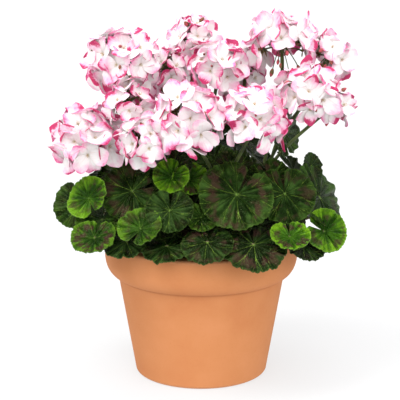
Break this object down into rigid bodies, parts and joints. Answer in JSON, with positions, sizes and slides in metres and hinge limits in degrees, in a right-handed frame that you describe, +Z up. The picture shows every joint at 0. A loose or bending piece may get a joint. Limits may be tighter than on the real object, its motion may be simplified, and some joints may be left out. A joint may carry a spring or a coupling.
{
  "type": "potted geranium",
  "caption": "Zonal geranium with round scalloped leaves and heads of white and pink florets, growing in soil in a flared terracotta pot.",
  "frame": {"origin": "middle of the underside of the pot, on the surface it stands on", "axes": "+Z up along the pot's axis, -Y towards the side that the picture shows, +X to the right as seen from there"},
  "size_m": [0.3322, 0.2696, 0.3931],
  "materials": {
    "terracotta": "matte fired clay",
    "potting_soil": "crumbly, dull",
    "foliage": "satin leaf",
    "petals": "soft, matte"
  },
  "bodies": {
    "root": {"pot": "terracotta", "soil": "potting_soil", "shoot_left": "foliage", "shoot_front_left": "foliage", "shoot_front_right": "foliage", "shoot_right": "foliage", "shoot_back_right": "foliage", "shoot_back_left": "foliage", "shoot_middle": "foliage", "head_left_front": "petals", "head_left_top": "petals", "head_left_mid": "petals", "head_mid_left_front": "petals", "head_centre_front": "petals", "head_right_front": "petals", "head_right_mid": "petals", "head_right_low": "petals", "head_right_top": "petals", "head_right_back": "petals", "head_back_right": "petals", "head_centre_back": "petals", "head_back_left": "petals", "head_back_mid": "petals", "head_centre_top": "petals", "head_top_back": "petals", "head_mid_back": "petals", "head_back_top": "petals"}
  },
  "joints": []
}
